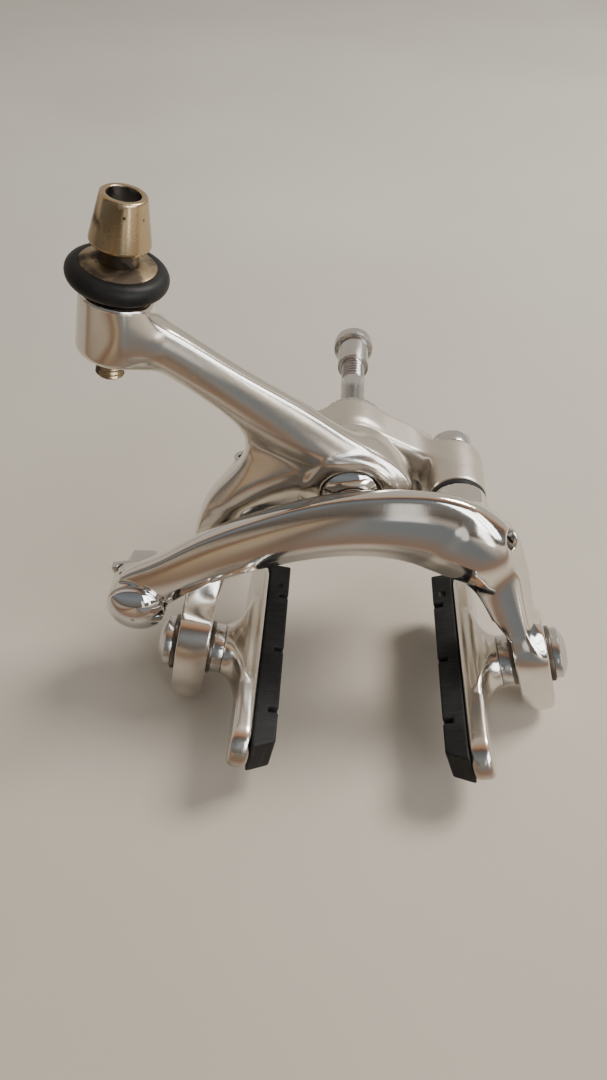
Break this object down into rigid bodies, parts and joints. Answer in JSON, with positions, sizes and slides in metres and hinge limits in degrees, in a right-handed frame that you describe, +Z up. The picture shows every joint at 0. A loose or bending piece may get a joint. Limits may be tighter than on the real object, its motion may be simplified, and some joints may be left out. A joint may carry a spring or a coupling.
{
  "type": "rim brake caliper",
  "caption": "Dual-pivot road bicycle rim brake caliper with two curved arms, cartridge brake shoes, a cable adjuster and a recessed-nut mounting bolt.",
  "frame": {"origin": "on the mounting bolt's axis, at the serrated washer's face that meets the fork", "axes": "+X right seen from the front, +Y back along the mounting bolt into the fork, +Z up"},
  "size_m": [0.1089, 0.1058, 0.1203],
  "materials": {
    "polished_alloy": "forged aluminium, polished",
    "satin_alloy": "forged aluminium, satin",
    "chrome": "mirror chrome",
    "steel": "zinc-plated steel",
    "dark_steel": "dark oiled steel",
    "worn_nickel": "nickel plating worn to a warm tint",
    "rubber": "satin black rubber",
    "pad_compound": "black brake compound",
    "bronze": "sintered bronze bush",
    "black_plastic": "matt black"
  },
  "bodies": {
    "bridge": {"mount_washer": "steel", "bridge": "satin_alloy", "centre_bolt": "steel", "centre_cap": "chrome", "rear_thrust_washer": "dark_steel", "front_thrust_washer": "dark_steel", "side_pivot_bolt": "steel", "side_washer": "black_plastic", "return_spring": "steel"},
    "nut": {"recessed_nut": "steel"},
    "y_arm": {"y_arm": "polished_alloy", "centre_bush": "bronze", "spring_holder": "black_plastic"},
    "tension_screw": {"tension_screw": "steel"},
    "c_arm": {"c_arm": "polished_alloy", "side_bush": "bronze", "roller_pin": "steel", "anchor_bolt": "chrome", "anchor_clamp": "steel", "anchor_nut": "steel"},
    "link_roller": {"link_roller": "steel"},
    "centring_screw": {"centring_screw": "steel"},
    "adjuster_seat": {"adjuster_washer": "black_plastic"},
    "adjuster": {"adjuster_barrel": "worn_nickel", "adjuster_wheel": "worn_nickel", "adjuster_o_ring": "rubber"},
    "left_washers": {"left_outer_washer": "dark_steel", "left_inner_washer": "dark_steel", "left_ball_washer": "steel"},
    "left_shoe": {"left_cup_washer": "steel", "left_pad_holder": "polished_alloy", "left_brake_pad": "pad_compound", "left_pad_bolt": "steel"},
    "right_washers": {"right_outer_washer": "dark_steel", "right_inner_washer": "dark_steel", "right_ball_washer": "steel"},
    "right_shoe": {"right_cup_washer": "steel", "right_pad_holder": "polished_alloy", "right_brake_pad": "pad_compound", "right_pad_bolt": "steel"}
  },
  "joints": [
    {"name": "c_arm_pivot", "type": "hinge", "parent": "bridge", "child": "c_arm", "pos_m": [0.024, -0.028, -0.004], "axis": [0, 1, 0], "range_deg": [0, 16], "stiffness_Nm_per_rad": 0.9, "springref_deg": -20.05},
    {"name": "y_arm_pivot", "type": "hinge", "parent": "bridge", "child": "y_arm", "pos_m": [0, -0.019, 0], "axis": [0, 1, 0], "range_deg": [-11.5, 0], "deforming": ["return_spring"]},
    {"name": "roller_spin", "type": "hinge", "parent": "c_arm", "child": "link_roller", "pos_m": [0.014, -0.019, -0.0074], "axis": [0, 1, 0], "continuous": true},
    {"name": "nut_off", "type": "slide", "parent": "bridge", "child": "nut", "axis": [0, 1, 0], "range_m": [0, 0.07]},
    {"name": "adjuster_turn", "type": "hinge", "parent": "adjuster_seat", "child": "adjuster", "pos_m": [-0.04622, -0.026, 0.03944], "axis": [0.2284, 0, 0.9736], "range_deg": [0, 1800]},
    {"name": "adjuster_rise", "type": "slide", "parent": "y_arm", "child": "adjuster_seat", "axis": [0.2284, 0, 0.9736], "range_m": [0, 0.005]},
    {"name": "tension_screw_turn", "type": "hinge", "parent": "y_arm", "child": "tension_screw", "pos_m": [-0.0244, -0.018, 0], "axis": [0, 0, 1], "range_deg": [-360, 360]},
    {"name": "centring_screw_turn", "type": "hinge", "parent": "c_arm", "child": "centring_screw", "pos_m": [0.0344, -0.0362, -0.0012], "axis": [0.6606, 0, 0.7507], "range_deg": [-360, 360]},
    {"name": "left_shoe_reach", "type": "slide", "parent": "y_arm", "child": "left_washers", "axis": [0.1908, 0, 0.9816], "range_m": [-0.004, 0.004]},
    {"name": "left_shoe_turn", "type": "hinge", "parent": "left_washers", "child": "left_shoe", "pos_m": [-0.0363, -0.0395, -0.0376], "axis": [-0.9816, 0, 0.1908], "range_deg": [-8, 8]},
    {"name": "right_shoe_reach", "type": "slide", "parent": "c_arm", "child": "right_washers", "axis": [-0.2924, 0, 0.9563], "range_m": [-0.004, 0.004]},
    {"name": "right_shoe_turn", "type": "hinge", "parent": "right_washers", "child": "right_shoe", "pos_m": [0.0443, -0.0395, -0.0368], "axis": [0.9563, 0, 0.2924], "range_deg": [-8, 8]}
  ],
  "couplings": [
    {"joint": "y_arm_pivot", "follows": "c_arm_pivot", "ratio": -0.7},
    {"joint": "adjuster_rise", "follows": "adjuster_turn", "m_per_rad": 0.00015915}
  ]
}
